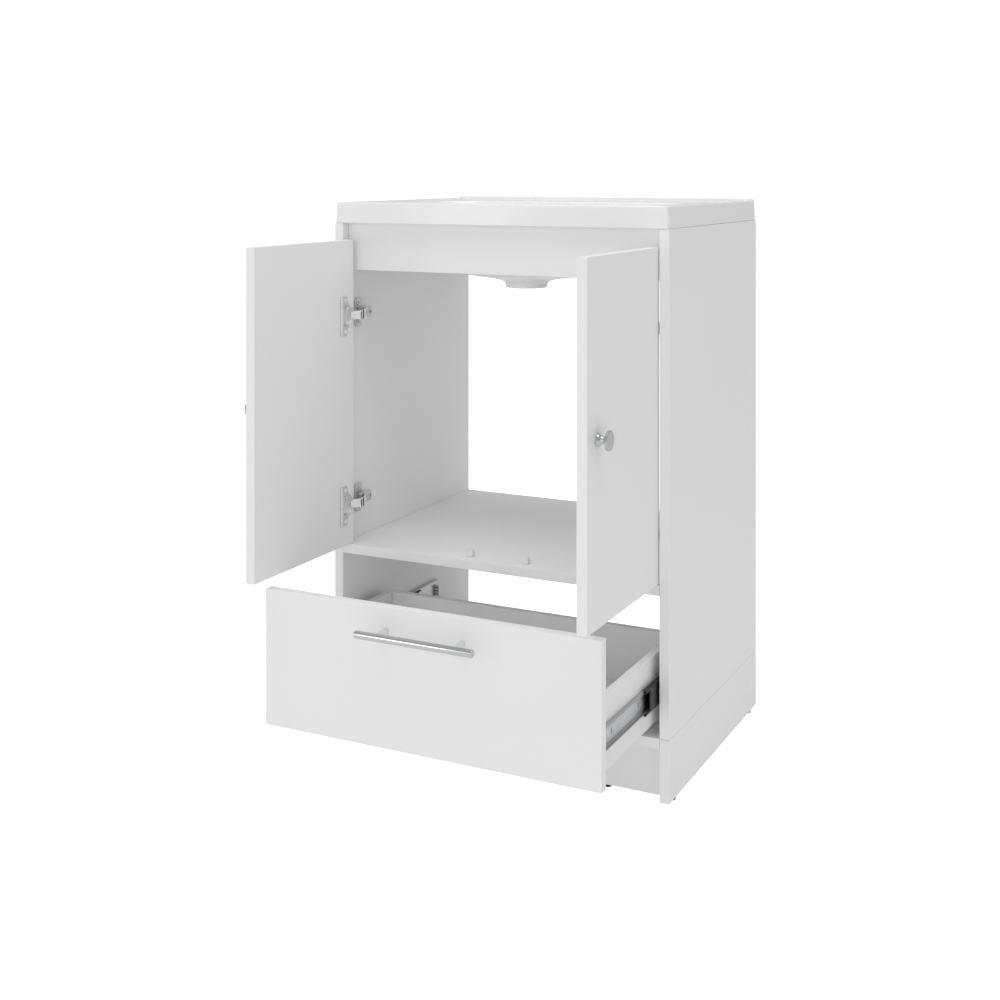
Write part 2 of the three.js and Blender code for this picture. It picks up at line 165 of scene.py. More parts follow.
LAMINATE = material("laminate", (0.93, 0.93, 0.93), 0.42, tone=0.004)
EDGING = material(
    "edging", (0.93, 0.93, 0.93), 0.36, tone=0.004, speck=0.004, bump=0.1, stretch=(1, 1, 0.25)
)
DRAWER_WHITE = material("drawer_white", (0.92, 0.92, 0.92), 0.46, tone=0.006, speck=0.01)
GLAZE = material(
    "cast_basin", (0.92, 0.92, 0.92), 0.2, coat=0.2, tone=0.004, tone_scale=3.0, speck=0.002,
    rough_spread=0.03, rough_scale=25, bump=0.04, bump_scale=60, bump_depth=0.00002,
)
CHROME = material(
    "chrome", (0.55, 0.555, 0.565), 0.09, metal=1, tone=0.01, speck=0.01, rough_spread=0.03,
    rough_scale=140, bump=0.05, bump_scale=420, bump_depth=0.00002,
)
BRUSHED = material(
    "brushed", (0.60, 0.605, 0.61), 0.11, metal=1, tone=0.01, tone_scale=20, speck=0.03,
    speck_scale=1200, rough_spread=0.03, rough_scale=700, bump=0.15, bump_scale=1700,
    bump_depth=0.00002, stretch=(0.03, 1, 1),
)
# a brighter copy of the handle bar's steel: painted light on the handle posts
LIT_POST_STEEL = material(
    "post_steel_painted_light", (0.82, 0.825, 0.83), 0.25, metal=0.85, tone=0.01, speck=0.02, speck_scale=1200,
    rough_scale=700, bump=0.15, bump_scale=1700, bump_depth=0.00002,
)
NICKEL = material(
    "nickel", (0.66, 0.665, 0.67), 0.32, metal=0.75, tone=0.03, tone_scale=60, speck=0.02,
    rough_spread=0.08, rough_scale=240, bump=0.2, bump_scale=900, bump_depth=0.00003,
)
# near-white, barely metallic copy of nickel: painted light, for hinge and slide parts that should read
# lighter than their shade
LIT_NICKEL = material(
    "nickel_painted_light", (0.94, 0.94, 0.945), 0.32, metal=0.15, tone=0.02, tone_scale=60, speck=0.02,
    rough_spread=0.06, rough_scale=240, bump=0.15, bump_scale=900, bump_depth=0.00003,
)
ZINC = material(
    "zinc", (0.56, 0.565, 0.575), 0.33, metal=1, tone=0.04, tone_scale=45, speck=0.04,
    speck_scale=420, rough_spread=0.08, rough_scale=160, bump=0.3, bump_scale=700,
    bump_depth=0.00003, stretch=(1, 0.06, 1),
)
SCREW = material(
    "screw_steel", (0.62, 0.62, 0.63), 0.24, metal=1, tone=0.03, tone_scale=300, speck=0.03,
    rough_spread=0.07, rough_scale=500, bump=0.15, bump_scale=1500,
)
WHITE_PLASTIC = material("white_plastic", (0.84, 0.84, 0.83), 0.38, speck=0.005, bump=0.15)
# near-black steel: painted shade, for the slide's middle members, the slots of its end plate and the
# sockets of the arm screws
SHADE_STEEL = material(
    "painted_shade_steel", (0.03, 0.03, 0.032), 0.42, metal=0.5, tone=0.1, tone_scale=40, speck=0.05,
    speck_scale=500, rough_spread=0.08, rough_scale=200, bump=0.3, bump_scale=700,
)
BLACK_PLASTIC = material(
    "black_plastic", (0.016, 0.016, 0.017), 0.5, tone=0.1, speck=0.1, bump=0.4, bump_depth=0.00005
)


# ---------------------------------------------------------------- mesh helpers
def fillet(points, radius, steps=4, closed=True):
    """A polyline with its corners rounded; radius is one number or one per point."""
    n = len(points)
    radii = radius if hasattr(radius, "__len__") else [radius] * n
    out = []
    for i in range(n):
        p = Vector(points[i])
        if not closed and i in (0, n - 1):
            out.append(p)
            continue
        a = Vector(points[i - 1]) - p
        b = Vector(points[(i + 1) % n]) - p
        if radii[i] <= 0 or a.length < 1e-9 or b.length < 1e-9:
            out.append(p)
            continue
        half = a.angle(b, math.pi) / 2
        if half > math.radians(88):
            out.append(p)
            continue
        back = min(radii[i] / math.tan(half), 0.49 * a.length, 0.49 * b.length)
        r = back * math.tan(half)
        centre = p + (a.normalized() + b.normalized()).normalized() * (r / math.sin(half))
        start, end = p + a.normalized() * back - centre, p + b.normalized() * back - centre
        turn = start.angle(end, 0)
        for k in range(steps + 1):
            t = k / steps
            s0 = math.sin((1 - t) * turn) / math.sin(turn)
            s1 = math.sin(t * turn) / math.sin(turn)
            out.append(centre + start * s0 + end * s1)
    return out


def ribbon(path, thickness, radius, steps=4):
    """Outline of a folded strip of sheet: the path is its middle line."""
    line = fillet([Vector(p) for p in path], radius, steps, closed=False)
    left, right = [], []
    for i, p in enumerate(line):
        d = (line[min(i + 1, len(line) - 1)] - line[max(i - 1, 0)]).normalized()
        side = Vector((-d.y, d.x)) * thickness / 2
        left.append(p + side)
        right.append(p - side)
    return left + right[::-1]


def bevelled(bm, width, segments=2, angle=25):
    """Rounds every edge sharper than the angle."""
    if width:
        bm.normal_update()
        edges = [e for e in bm.edges if e.calc_face_angle(0) > math.radians(angle)]
        bmesh.ops.bevel(
            bm, geom=edges, offset=width, segments=segments, profile=0.5, affect="EDGES",
            clamp_overlap=True,
        )
    return bm


def block(lo, hi, edge=0.0, segments=2):
    """A box between two corners, with rounded edges."""
    lo, hi = Vector(lo), Vector(hi)
    bm = bmesh.new()
    place = Matrix.Translation((lo + hi) / 2) @ Matrix.Diagonal([*(hi - lo), 1])
    bmesh.ops.create_cube(bm, size=1, matrix=place)
    return bevelled(bm, edge, segments)


def prism(points, low, high, edge=0.0, segments=2, turn=None):
    """An XY outline drawn out along Z, then turned by a matrix."""
    bm = bmesh.new()
    face = bm.faces.new([bm.verts.new((p[0], p[1], low)) for p in points])
    made = bmesh.ops.extrude_face_region(bm, geom=[face])["geom"]
    verts = [v for v in made if isinstance(v, bmesh.types.BMVert)]
    bmesh.ops.translate(bm, vec=(0, 0, high - low), verts=verts)
    bmesh.ops.recalc_face_normals(bm, faces=bm.faces)
    bevelled(bm, edge, segments)
    if turn is not None:
        bm.transform(turn)
        bmesh.ops.recalc_face_normals(bm, faces=bm.faces)
    return bm


def lathe(profile, segments=48, axis="Z", at=(0, 0, 0)):
    """Turns a profile of (radius, height) about an axis; the ends close on the axis."""
    bm = bmesh.new()
    rings = []
    for r, h in profile:
        if r < 1e-6:
            rings.append([bm.verts.new((0, 0, h))])
            continue
        rings.append(
            [
                bm.verts.new(
                    (
                        r * math.cos(math.tau * k / segments),
                        r * math.sin(math.tau * k / segments),
                        h,
                    )
                )
                for k in range(segments)
            ]
        )
    for a, b in zip(rings, rings[1:]):
        for k in range(segments):
            m = (k + 1) % segments
            quad = [a[k % len(a)], a[m % len(a)], b[m % len(b)], b[k % len(b)]]
            unique = list(dict.fromkeys(quad))
            if len(unique) > 2:
                bm.faces.new(unique)
    if len(rings[0]) > 1 and len(rings[-1]) > 1:
        bm.faces.new(rings[0][::-1])
        bm.faces.new(rings[-1])
    turns = {"X": Matrix.Rotation(math.pi / 2, 4, "Y"), "Y": Matrix.Rotation(-math.pi / 2, 4, "X")}
    bm.transform(Matrix.Translation(at) @ turns.get(axis, Matrix.Identity(4)))
    bmesh.ops.recalc_face_normals(bm, faces=bm.faces)
    return bm


def rod(r, low, high, axis="Z", at=(0, 0, 0), edge=0.3, segments=32):
    """A round bar along an axis, with rounded ends."""
    edge = min(edge, r * 0.45)
    profile = [
        (0, low), (r - edge, low), (r - edge * 0.3, low + edge * 0.3), (r, low + edge),
        (r, high - edge), (r - edge * 0.3, high - edge * 0.3), (r - edge, high), (0, high),
    ]
    return lathe(profile, segments, axis, at)


def combine(a, b, operation="DIFFERENCE"):
    """a with the closed body b cut away or added; both are used up."""
    objects = []
    for bm in (a, b):
        mesh = bpy.data.meshes.new("tool")
        bm.to_mesh(mesh)
        bm.free()
        obj = bpy.data.objects.new("tool", mesh)
        bpy.context.scene.collection.objects.link(obj)
        objects.append(obj)
    modifier = objects[0].modifiers.new("combine", "BOOLEAN")
    modifier.operation = operation
    modifier.solver = "EXACT"
    modifier.object = objects[1]
    graph = bpy.context.evaluated_depsgraph_get()
    mesh = bpy.data.meshes.new_from_object(objects[0].evaluated_get(graph))
    out = bmesh.new()
    out.from_mesh(mesh)
    bpy.data.meshes.remove(mesh)
    for obj in objects:
        old = obj.data
        bpy.data.objects.remove(obj)
        bpy.data.meshes.remove(old)
    return out


def join(target, source, place=None, slot=0):
    """Adds source's faces to target as a separate closed shell."""
    mesh = bpy.data.meshes.new("join")
    if place is not None:
        source.transform(place)
    for f in source.faces:
        f.material_index = slot
    source.to_mesh(mesh)
    source.free()
    target.from_mesh(mesh)
    bpy.data.meshes.remove(mesh)
    return target


def piece(name, bm, mats, body, nodes=(), side=-1, sharp=38):
    """A finished piece, drawn in carcass millimetres; side 1 mirrors it to the right."""
    if side > 0:
        bm.transform(MIRROR)
        bmesh.ops.reverse_faces(bm, faces=bm.faces)
    bm.transform(TO_ROW)
    bm.normal_update()
    for e in bm.edges:
        e.smooth = e.calc_face_angle(0) < math.radians(sharp)
    for f in bm.faces:
        f.smooth = True
    mesh = bpy.data.meshes.new(name)
    bm.to_mesh(mesh)
    bm.free()
    for mat in mats:
        mesh.materials.append(mat)
    obj = bpy.data.objects.new(name, mesh)
    bpy.context.scene.collection.objects.link(obj)
    normals = obj.modifiers.new("normals", "WEIGHTED_NORMAL")
    normals.keep_sharp = True
    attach(obj, body)
    if nodes:
        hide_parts(*nodes)
    return obj


def board_body(lo, hi, edge=0.7):
    """A laminated board: the broad faces take material 0, the edge bands material 1."""
    bm = block(lo, hi, edge, 3)
    bm.normal_update()
    size = Vector(hi) - Vector(lo)
    thin = list(size).index(min(size))
    for f in bm.faces:
        f.material_index = 0 if abs(f.normal[thin]) > 0.9 else 1
    return bm


def board(node, body="carcass", mats=(LAMINATE, EDGING), edge=0.7):
    lo, hi = box_mm(node)
    return piece(f"{node}_board", board_body(lo, hi, edge), mats, body, [node])


# ---------------------------------------------------------------- screws
def screw_head(radius, height, cross=True):
    """A low pan head with a cross recess or a slot, seated on Z = 0."""
    profile = [
        (0, -0.2), (radius, -0.2), (radius, height * 0.25), (radius * 0.93, height * 0.62),
        (radius * 0.72, height * 0.9), (radius * 0.45, height), (0, height),
    ]
    head = lathe(profile, 28)
    long, wide, deep = radius * 0.62, radius * 0.17, height * 0.35
    head = combine(head, block((-long, -wide, deep), (long, wide, height + 1)))
    if cross:
        head = combine(head, block((-wide, -long, deep), (wide, long, height + 1)))
    return head


ON_X = Matrix.Rotation(math.pi / 2, 4, "Y")  # a shape drawn along +Z now points along +X


def add_screws(bm, places, radius, height, face_x, slot=1, spin=0.4, cross=True):
    """Screw heads on a plane that faces +X."""
    for i, (y, z) in enumerate(places):
        turn = Matrix.Rotation(spin + 0.9 * i, 4, "X")
        place = Matrix.Translation((face_x, y, z)) @ turn @ ON_X
        join(bm, screw_head(radius, height, cross), place, slot)
    return bm


# ---------------------------------------------------------------- carcass
for tag in ("left", "right"):
    board(f"side_panel_{tag}")
    board(f"plinth_side_{tag}")
for node in (
    "bottom_board", "plinth_front", "plinth_rear", "middle_shelf", "rail_front", "rail_rear"
):
    board(node)

for tag in ("left", "right"):
    lo, hi = box_mm(f"door_stop_{tag}")
    stop = block(lo, hi, 1.3, 4)
    node = f"door_stop_{tag}"
    piece(f"stop_block_{tag}", stop, [WHITE_PLASTIC], "carcass", [node])

GLIDE_DIMPLE = 2.6  # radius of the flat in the middle of a glide's underside
for place in (
    "left_front", "left_rear", "right_front", "right_rear", "plinth_left", "plinth_right"
):
    lo, hi = box_mm(f"glide_{place}")
    r, height = (hi.x - lo.x) / 2, hi.z - lo.z
    profile = fillet(
        [
            (0, 0.6), (GLIDE_DIMPLE, 0.6), (GLIDE_DIMPLE + 0.6, 0), (r - 0.9, 0), (r, 1.0),
            (r, height - 1.0), (r - 0.6, height), (0, height),
        ],
        0.4, 3, closed=False,
    )
    glide = lathe(profile, 40, at=((lo.x + hi.x) / 2, (lo.y + hi.y) / 2, lo.z))
    piece(f"glide_pad_{place}", glide, [BLACK_PLASTIC], "carcass", [f"glide_{place}"])


# ---------------------------------------------------------------- washbasin
CORNER_STEPS = 14
LEDGE_FROM, LEDGE_RUN, LEDGE_UP = 445.8, 2.4, 2.7  # where the rear ledge rises, over what run, how far
BASIN_RISE = 37.5  # from the foot of the rim to the top of the rear ledge
RIM_RISE, DECK_RISE = 34.8, 32.8
WASTE_Y, WASTE_R = 128.0, 23
WASTE_SEAT_DROP, BOSS_DROP = 88.1, 108.2  # seat and underside of the waste boss, below the foot
TAP_Y, TAP_R = 378, 17.5
OVERFLOW_Y, OVERFLOW_R, OVERFLOW_DROP = 299, 10, 6.6


def ring(z, x, front, back, r, lifted=False):
    """Points of one rounded rectangle, with two extra points on each side near the rear ledge."""
    r = min(r, x, (back - front) / 2)
    straight = back - front - 2 * r
    extra = [min(5.3, straight * 0.3), min(7.7, straight * 0.45)]
    points = []
    for quarter, (cx, cy) in enumerate(
        [(x - r, back - r), (-x + r, back - r), (-x + r, front + r), (x - r, front + r)]
    ):
        for i in range(CORNER_STEPS + 1):
            a = math.pi / 2 * (quarter + i / CORNER_STEPS)
            points.append([cx + r * math.cos(a), cy + r * math.sin(a), z])
        if quarter == 1:
            points += [[-x, back - r - d, z] for d in extra]
        if quarter == 3:
            points += [[x, back - r - d, z] for d in reversed(extra)]
    if lifted:
        for p in points:
            t = min(1, max(0, (p[1] - LEDGE_FROM) / LEDGE_RUN))
            p[2] += LEDGE_UP * t * t * (3 - 2 * t)
    return points


def eased(levels, steps):
    """Levels with smooth ones added between them (Catmull-Rom)."""
    out = []
    for i in range(len(levels) - 1):
        p = [levels[max(0, min(len(levels) - 1, i + k))] for k in (-1, 0, 1, 2)]
        for s in range(steps):
            t = s / steps
            out.append(
                tuple(
                    0.5
                    * (
                        2 * b
                        + (c - a) * t
                        + (2 * a - 5 * b + 4 * c - d) * t * t
                        + (3 * b - a - 3 * c + d) * t**3
                    )
                    for a, b, c, d in zip(*p)
                )
            )
    return out + [levels[-1]]


def circle(z, r, y):
    """A round level for ring()."""
    return (z, r, y - r, y + r, r)


def washbasin():
    """One closed shell of stacked rings: outside, rim, deck, bowl, waste boss, underside, foot."""
    hi = box_mm("washbasin")[1]
    foot, back = hi.z - BASIN_RISE, hi.y
    rim, deck = foot + RIM_RISE, foot + DECK_RISE
    rings = []

    def add(levels, lifted=False):
        rings.extend(ring(*level, lifted) for level in levels)

    # the outside, drafted inwards to the rim, with rounded edges
    add(
        [
            (foot, 298.9, 0.1, back - 0.8, 6),
            (foot + 0.15, 299.5, -0.5, back - 0.3, 6.3),
            (foot + 0.8, 299.95, -0.95, back, 6.5),
            (foot + 18, 298.75, -0.7, back, 6.5),
        ]
    )
    edge = 2.6
    add([(rim - 8, 297.8, -0.45, back, 6.5)], True)
    for k in range(6):
        a = math.pi / 2 * k / 5
        inset = edge * (1 - math.cos(a))
        level = rim - edge + edge * math.sin(a)
        add([(level, 297.6 - inset, -0.4 + inset, back - inset, 6.5 - inset / 2)], True)
    # across the rim and down to the deck
    add(
        [
            (rim, 287.9, 9.1, 449.2, 10.5),
            (rim - 0.08, 287.4, 9.6, 448.8, 10.4),
            (rim - 0.3, 287.2, 9.8, 448.6, 10.3),
        ],
        True,
    )
    add(
        [
            (deck + 0.3, 287.15, 9.85, 448.5, 10.3),
            (deck + 0.08, 286.95, 10.05, 448.3, 10.2),
            (deck, 286.4, 10.6, 447.8, 10.0),
            (deck, 268, 20, 400, 30),
        ]
    )
    # over the lip into the bowl, down to the waste seat
    bowl = [
        (deck, 241, 29, 310, 70),
        (deck - 0.5, 239, 31, 308, 69.5),
        (deck - 2.4, 237.4, 33, 306.4, 69),
        (deck - 7, 235.5, 35.8, 304.4, 68.5),
        (foot + 24.4, 234, 38, 303, 68),
        (foot - 0.6, 226, 45, 296, 70),
        (foot - 30.6, 212, 49, 285, 72),
        (foot - 52.6, 192, 53, 273, 72),
        (foot - 66.6, 158, 57, 257, 70),
        (foot - 74.6, 118, 63, 236, 66),
        (foot - 80.1, 78, 72, 206, 60),
        (foot - 84.6, 46, 86, 174, 44),
    ]
    add(eased(bowl, 4))
    seat = foot - WASTE_SEAT_DROP
    under = foot - BOSS_DROP
    add(
        circle(z, r, WASTE_Y)
        for z, r in [
            (seat + 2.6, 35), (seat + 2.2, 33), (seat + 1.2, 32.1), (seat + 0.3, 31.7), (seat, 31),
            (seat, 25.5), (seat - 0.3, 24.2), (seat - 1.2, 23.2), (seat - 2.2, WASTE_R),
            (under + 1.4, WASTE_R), (under + 0.5, 23.3), (under, 24.2),
            (under, 32.6), (under + 0.4, 34.0), (under + 1.2, 34.9), (under + 2.6, 35.3),
            (under + 6, 35.6), (under + 8.4, 36.8), (under + 10.6, 39.2), (under + 12.4, 43.4),
        ]
    )
    shell = [
        (foot - 92.2, 62, 77, 190, 54),
        (foot - 90.1, 80, 68, 212, 64),
        (foot - 84.1, 124, 55, 245, 72),
        (foot - 74.6, 166, 48, 268, 76),
        (foot - 58.6, 201, 43, 284, 78),
        (foot - 34.6, 222, 39, 296, 78),
        (foot, 236, 35.5, 307, 77),
        (foot + 20.4, 242, 33.4, 312, 76),
    ]
    add(eased(shell, 3))
    # the hollow under the deck, and the foot of the rim
    add(
        [
            (foot + 20.4, 277, 31.6, 436, 12),
            (foot + 19.6, 279.4, 31.2, 438.4, 10.6),
            (foot + 17.4, 280.4, 31, 439.4, 10),
            (foot + 0.8, 282.8, 30, 441.8, 10),
            (foot, 283.6, 29.2, 442.6, 10),
        ]
    )
    bm = bmesh.new()
    rows = [[bm.verts.new(p) for p in r] for r in rings]
    n = len(rows[0])
    for k, row in enumerate(rows):
        below = rows[(k + 1) % len(rows)]
        for i in range(n):
            j = (i + 1) % n
            bm.faces.new((row[i], row[j], below[j], below[i]))
    bmesh.ops.remove_doubles(bm, verts=bm.verts, dist=0.001)
    bmesh.ops.recalc_face_normals(bm, faces=bm.faces)
    tap = [
        (0, deck - 30), (TAP_R, deck - 30), (TAP_R, deck - 1.6), (TAP_R + 0.3, deck - 0.7),
        (18.6, deck - 0.1), (19.4, deck + 3), (0, deck + 3),
    ]
    bm = combine(bm, lathe(tap, 56, at=(0, TAP_Y, 0)))
    centre = (0, OVERFLOW_Y, foot - OVERFLOW_DROP)
    bm = combine(bm, rod(OVERFLOW_R, -20, 20, "Y", at=centre, edge=0, segments=40))
    piece("basin", bm, [GLAZE], "carcass", ["washbasin"], sharp=34)


washbasin()


# ---------------------------------------------------------------- doors, knobs and hinges
CUP_R, CUP_DEPTH, CUP_INSET = 17.5, 11.5, 22.5
FLANGE_HALF, FLANGE_T = 33, 1.2
FLANGE_SCREW_Z, MOUNT_SCREW_Z = 26, 16  # screws above and below a hinge's middle
ARM_HALF, ARM_SHEET = 8.7, 1.2
ARM_FACE = -271.2  # the arm's flat over the mounting plate
NOSE_R = 2.6
LINK_HALF = 7.0
HINGES = {"lower": 399.0, "upper": 717.0}
INNER = box_mm("side_panel_right")[0].x  # inner face of a side panel


def door(side, tag):
    """The open door; drawn on the left."""
    lo, hi = box_mm("door_left")
    bm = board_body(lo, hi)
    cup_y = hi.y - CUP_INSET
    for z in HINGES.values():
        pocket = rod(CUP_R, -CUP_DEPTH, 5, "X", at=(hi.x, cup_y, z), edge=0, segments=56)
        bm = combine(bm, pocket)
    mats = [LAMINATE, EDGING]
    piece(f"door_panel_{tag}", bm, mats, f"{tag}_door", [f"door_{tag}"], side)


def knob(side, tag):
    """A turned foot, a narrow neck and a thin round plate; drawn on the left, pointing to -X."""
    lo, hi = box_mm("knob_left")
    profile = fillet(
        [
            (0, 0.3), (9.2, 0.3), (9.2, 1.4), (7.9, 3.9), (6.0, 6.8), (5.0, 9.6), (5.0, 12.0),
            (6.4, 13.9), (10.6, 15.2), (14.3, 15.6), (14.3, 18.9), (12.9, 19.4), (0, 19.4),
        ],
        [0, 0.4, 0.5, 3, 3, 3, 2, 1.5, 2.5, 0.7, 0.6, 0.6, 0], 4, closed=False,
    )
    centre = ((lo.y + hi.y) / 2, (lo.z + hi.z) / 2)
    bm = lathe([(r, -h) for r, h in profile], 72, "X", at=(hi.x + 0.3, *centre))
    piece(f"turned_knob_{tag}", bm, [CHROME], f"{tag}_door", [f"knob_{tag}"], side)


# an outline's axes become Y and Z
PLANE_YZ = Matrix(((0, 0, 1, 0), (1, 0, 0, 0), (0, 1, 0, 0), (0, 0, 0, 1)))


def hinge_cup(side, tag, level, z):
    """The cup pressed into the door, with its flange plate and closing mechanism."""
    face = box_mm("door_left")[1].x
    cup_y = box_mm("door_left")[1].y - CUP_INSET
    half = FLANGE_HALF
    outline = [
        (1, -half), (1, -24), (9, -15), (12, -13), (12, 13),
        (9, 15), (1, 24), (1, half), (-18.5, half), (-18.5, -half),
    ]
    outline = fillet(outline, [1.6, 2, 3, 2, 2, 3, 2, 1.6, 2.2, 2.2], 4)
    seat = Matrix.Translation((face + 0.3, cup_y, 0)) @ PLANE_YZ
    plate = prism(outline, 0, FLANGE_T, 0.28, 2, seat)
    outer = [
        (0, -10.9), (15.6, -10.9), (17.2, -9.6), (17.2, 0.9), (18.7, 0.9), (18.7, 1.5), (0, 1.5),
    ]
    outer = fillet(outer, [0, 1.2, 1.2, 0, 0.3, 0.3, 0], 3, closed=False)
    bm = combine(plate, lathe(outer, 56, "X", at=(face, cup_y, 0)), "UNION")
    hollow = fillet(
        [(0, -10.1), (16.3, -10.1), (16.3, 0.6), (17.3, 2.2), (17.3, 8), (0, 8)],
        [0, 2.6, 0.5, 0, 0, 0], 5, closed=False,
    )
    bm = combine(bm, lathe(hollow, 56, "X", at=(face, cup_y, 0)))
    bm = combine(bm, block((face - 3.6, cup_y + 8, -8), (face + 6, 6, 8), 0.8))
    # painted light: the faces inside the cup take the lighter nickel so the recess reads light
    for f in bm.faces:
        c = f.calc_center_median()
        if math.hypot(c.y - cup_y, c.z) < 16.8 and face - 10.4 < c.x < face + 1:
            f.material_index = 2
    # pressed rib along the flange's free edge, in the lighter nickel as a painted highlight line
    low, high = (face + 1.2, cup_y - 18.4, -32.2), (face + 2.9, cup_y - 14.8, 32.2)
    join(bm, block(low, high, 0.8, 3), slot=2)
    # closing mechanism inside the cup, clear of the arm's nose and of the link; its lighter nickel is
    # painted light in the cup
    low, high = (face - 9.9, cup_y - 14.0, -7.8), (face - 0.6, cup_y - 8.2, 7.8)
    join(bm, block(low, high, 1.2, 3), slot=2)
    for bottom, top in ((-14.2, -9.5), (9.5, 14.2)):
        low, high = (face - 9.9, cup_y - 7.0, bottom), (face - 0.8, cup_y + 6.6, top)
        join(bm, block(low, high, 1.0, 3), slot=2)
        rivet = (face - 0.6, cup_y - 2.5, (bottom + top) / 2)
        join(bm, rod(1.7, -0.4, 0.5, "X", at=rivet, edge=0.3), slot=1)
    # the flange screws take the lighter nickel: painted light
    screws = [(cup_y - 4.5, -FLANGE_SCREW_Z), (cup_y - 4.5, FLANGE_SCREW_Z)]
    add_screws(bm, screws, 3.4, 1.3, face + 1.5, 2)
    bm.transform(Matrix.Translation((0, 0, z)))
    name = f"{tag}_{level}"
    mats = [NICKEL, SCREW, LIT_NICKEL]
    piece(f"cup_{name}", bm, mats, f"{tag}_door", [f"hinge_cup_{name}"], side)


LINK_A = Vector((-255.5, 9.0))
LINK_L = 15.0
LINK_ANGLE = math.radians(-130)
LINK_B = LINK_A + LINK_L * Vector((math.cos(LINK_ANGLE), math.sin(LINK_ANGLE)))


def hinge_link(side, tag, level, z):
    """The plate between the arm's nose and the cup."""
    turn = Matrix.Translation((*LINK_B, z)) @ Matrix.Rotation(LINK_ANGLE + math.pi, 4, "Z")
    strap = fillet(
        [(-1.3, -1.2), (LINK_L + 0.4, -1.2), (LINK_L + 2.2, 0), (LINK_L + 0.4, 1.2), (-1.3, 1.2)],
        [1.1, 1.4, 1.4, 1.4, 1.1], 5,
    )
    bm = prism(strap, -LINK_HALF, LINK_HALF, 0.25, 2)
    bm = combine(bm, block((-4, -3, -9), (3.6, 3, -5.5)))
    bm = combine(bm, block((-4, -3, 5.5), (3.6, 3, 9)))
    for low, high in ((-7.1, -4.6), (4.6, 7.1)):
        join(bm, rod(2.3, low, high, at=(LINK_L, 0, 0), edge=0.3, segments=28))
    bm.transform(turn)
    name = f"{tag}_{level}"
    # the link takes the lighter nickel: painted light
    piece(
        f"link_{name}", bm, [LIT_NICKEL], f"{tag}_hinge_links", [f"hinge_link_{name}"], side
    )


def hinge_arm(side, tag, level, z):
    """A cranked channel from the mounting plate to the nose that holds the link's pin."""
    turns = [math.pi * (1 + i / 10) for i in range(11)]
    nose = [
        (LINK_A.x + NOSE_R * math.cos(a), LINK_A.y + NOSE_R * math.sin(a)) for a in turns
    ]
    outer = nose + fillet(
        [
            (-252.9, 22), (-257, 32), (-268.4, 43), (-271, 50), (-271, 72),
            (-278.5, 72), (-278.5, 40), (-266, 25), (-258.1, 14),
        ],
        [6, 6, 6, 4, 1.5, 1.5, 4, 6, 4], 4,
    )
    inside = [
        (LINK_A.x - 6, LINK_A.y - 6), (-250, LINK_A.y - 6), (-250, 11.8), (-254.1, 12.6),
        (-254.1, 21.8), (-258.1, 31.3), (-269.4, 42.2), (-272.2, 49.6), (-272.2, 80),
        (-290, 80), (-290, 20),
    ]
    half = ARM_HALF
    bm = prism(outer, -half, half, 0.45, 3)
    bm = combine(bm, prism(inside, -half + ARM_SHEET, half - ARM_SHEET))
    bm.normal_update()
    # painted light: the outside of the nose takes the lighter nickel
    for f in bm.faces:  # the outside of the nose is brighter
        if f.normal.x > 0.5 and f.calc_center_median().x > -256:
            f.material_index = 3
    join(bm, rod(1.15, -half + 0.3, half - 0.3, at=(*LINK_A, 0), edge=0.2, segments=20), slot=1)
    for end in (-half - 0.1, half - 0.5):
        join(bm, rod(2.0, end, end + 0.5, at=(*LINK_A, 0), edge=0.15, segments=24), slot=1)
    # fixing screw and adjusting screw on the flat, each with a near-black disc as painted shade in its
    # socket
    add_screws(bm, [(66, 0)], 3.9, 1.5, ARM_FACE, 1, 0.3)
    join(bm, rod(1.5, -0.5, 1.4, "X", at=(ARM_FACE, 66, 0), edge=0.2, segments=20), slot=2)
    add_screws(bm, [(53.6, 0)], 3.2, 1.3, ARM_FACE, 1, 1.1, False)
    join(bm, rod(1.6, -0.5, 1.2, "X", at=(ARM_FACE, 53.6, 0), edge=0.2, segments=20), slot=2)
    bm.transform(Matrix.Translation((0, 0, z)))
    name = f"{tag}_{level}"
    mats = [NICKEL, SCREW, SHADE_STEEL, LIT_NICKEL]
    piece(f"arm_{name}", bm, mats, "carcass", [f"hinge_arm_{name}"], side)


def hinge_mount(side, tag, level, z):
    """The winged mounting plate on the side panel, with the raised bed that carries the arm."""
    wall = -INNER + 0.3
    seat = Matrix.Translation((wall, 0, 0)) @ PLANE_YZ
    wings = fillet([(36, -25), (56, -25), (56, 25), (36, 25)], 6.5, 6)
    bm = prism(wings, 0, 2.5, 0.5, 3, seat)
    bed = [
        (wall + 1, 35), (wall + 5, 35), (-273.2, 47), (-272.7, 52), (-272.7, 70), (wall + 1, 70)
    ]
    join(bm, prism(bed, -7, 7, 0.6, 3))
    foot = fillet([(35, -8), (71, -8), (71, 8), (35, 8)], 2.5, 4)
    join(bm, prism(foot, 0, 1.6, 0.4, 2, seat))
    add_screws(bm, [(42.5, -MOUNT_SCREW_Z), (42.5, MOUNT_SCREW_Z)], 4.1, 1.6, wall + 2.5, 1)
    bm.transform(Matrix.Translation((0, 0, z)))
    name = f"{tag}_{level}"
    mats = [NICKEL, SCREW]
    piece(f"mount_{name}", bm, mats, "carcass", [f"hinge_mount_{name}"], side)


for side, tag in ((-1, "left"), (1, "right")):
    door(side, tag)
    knob(side, tag)
    for level, z in HINGES.items():
        hinge_cup(side, tag, level, z)
        hinge_link(side, tag, level, z)
        hinge_arm(side, tag, level, z)
        hinge_mount(side, tag, level, z)


# ---------------------------------------------------------------- drawer
board("drawer_front", "drawer")
for node in ("drawer_side_left", "drawer_side_right", "drawer_back"):
    board(node, "drawer", (DRAWER_WHITE, EDGING), 0.6)
board("drawer_floor", "drawer", (DRAWER_WHITE, DRAWER_WHITE), 0.4)


